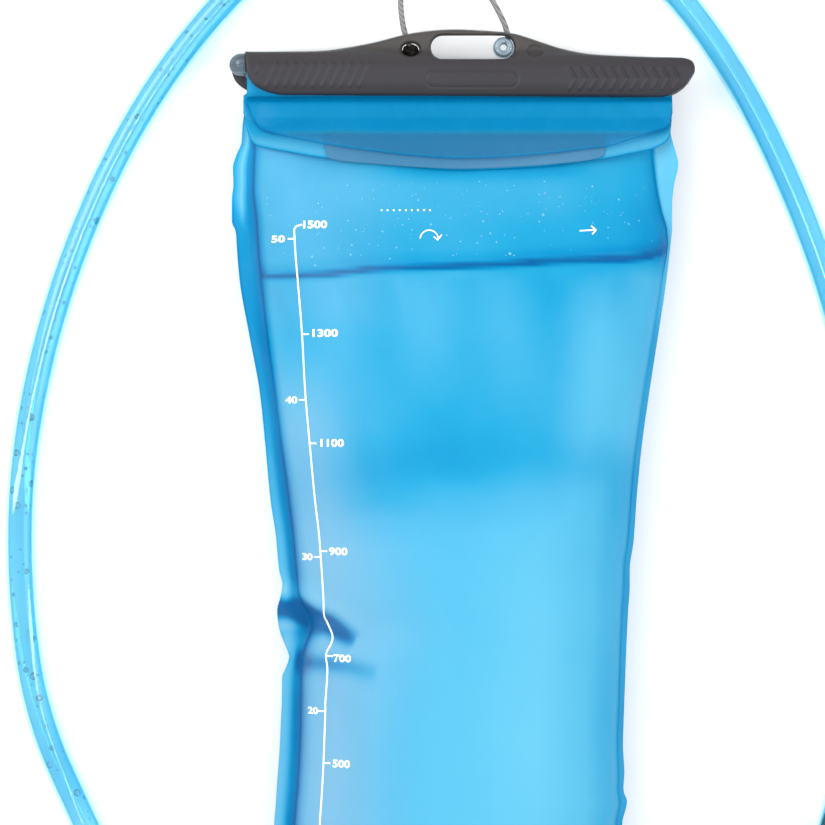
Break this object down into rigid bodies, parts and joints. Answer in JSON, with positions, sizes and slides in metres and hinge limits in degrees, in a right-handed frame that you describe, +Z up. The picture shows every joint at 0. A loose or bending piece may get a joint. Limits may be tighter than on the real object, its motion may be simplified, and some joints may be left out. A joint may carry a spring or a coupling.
{
  "type": "hydration bladder",
  "caption": "Soft film water reservoir with a folded mouth held by a slide closure, an outlet port at the foot and a long drink tube with a twist bite valve.",
  "frame": {"origin": "bottom centre of the bag with its closure, without the hose and the cord; it lies on its back on Z = 0", "axes": "+Y along the bag to the slide closure, +X to the right across the front, +Z up out of the front face"},
  "size_m": [0.2809, 0.3877, 0.0642],
  "materials": {
    "film": "frosted translucent polyurethane film, soft satin",
    "water": "clear liquid, stands for the water inside",
    "clear_plastic": "clear moulded plastic",
    "closure_grey": "fine-grained satin moulding",
    "cord_grey": "round braided elastic cord",
    "stiffener": "greyish translucent strip",
    "port_blue": "soft satin weldable plastic",
    "port_grey": "satin moulding",
    "button_blue": "polished moulding",
    "spring_steel": "drawn wire",
    "seal_rubber": "smooth",
    "hose": "clear glossy blue tube",
    "silicone": "soft matte silicone"
  },
  "bodies": {
    "bladder": {"front_panel": "film", "rear_panel": "film", "water_fill": "water", "seal_rod": "clear_plastic", "mouth_fold": "film", "port_flange": "port_blue", "port_housing": "port_grey", "button_spring": "spring_steel", "drink_tube": "hose", "valve_body": "port_grey", "valve_oring": "seal_rubber"},
    "closure": {"slide_closure": "closure_grey", "hang_cord": "cord_grey", "cord_knot": "cord_grey", "cord_sleeve": "clear_plastic"},
    "flap": {"mouth_lip_back": "film", "mouth_stiffener": "stiffener", "mouth_lip_front": "film"},
    "button": {"release_button": "button_blue"},
    "plug": {"plug_elbow": "port_grey", "plug_oring": "seal_rubber", "tube_lead": "hose"},
    "poppet": {"check_poppet": "port_grey", "poppet_spring": "spring_steel"},
    "twist": {"twist_collar": "closure_grey", "bite_mouthpiece": "silicone"}
  },
  "joints": [
    {"name": "closure_slide", "type": "slide", "parent": "bladder", "child": "closure", "axis": [1, 0, 0], "range_m": [0, 0.171]},
    {"name": "flap_lift", "type": "hinge", "parent": "bladder", "child": "flap", "pos_m": [0, 0.14691, 0.02121], "axis": [-1, 0, 0], "range_deg": [0, 65]},
    {"name": "port_button", "type": "slide", "parent": "bladder", "child": "button", "axis": [-1, 0, 0], "range_m": [0, 0.002], "stiffness_N_per_m": 600, "springref_m": -0.001, "deforming": ["button_spring"]},
    {"name": "plug_pull", "type": "slide", "parent": "bladder", "child": "plug", "axis": [0, 0, 1], "range_m": [0, 0.012]},
    {"name": "poppet_lift", "type": "slide", "parent": "bladder", "child": "poppet", "axis": [0, 0, 1], "range_m": [0, 0.0025], "deforming": ["poppet_spring"]},
    {"name": "valve_twist", "type": "hinge", "parent": "bladder", "child": "twist", "pos_m": [0.1159, -0.0888, 0.011], "axis": [-0.292, -0.9564, 0], "range_deg": [0, 90]}
  ],
  "couplings": [
    {"joint": "poppet_lift", "follows": "plug_pull", "ratio": 0.208}
  ]
}
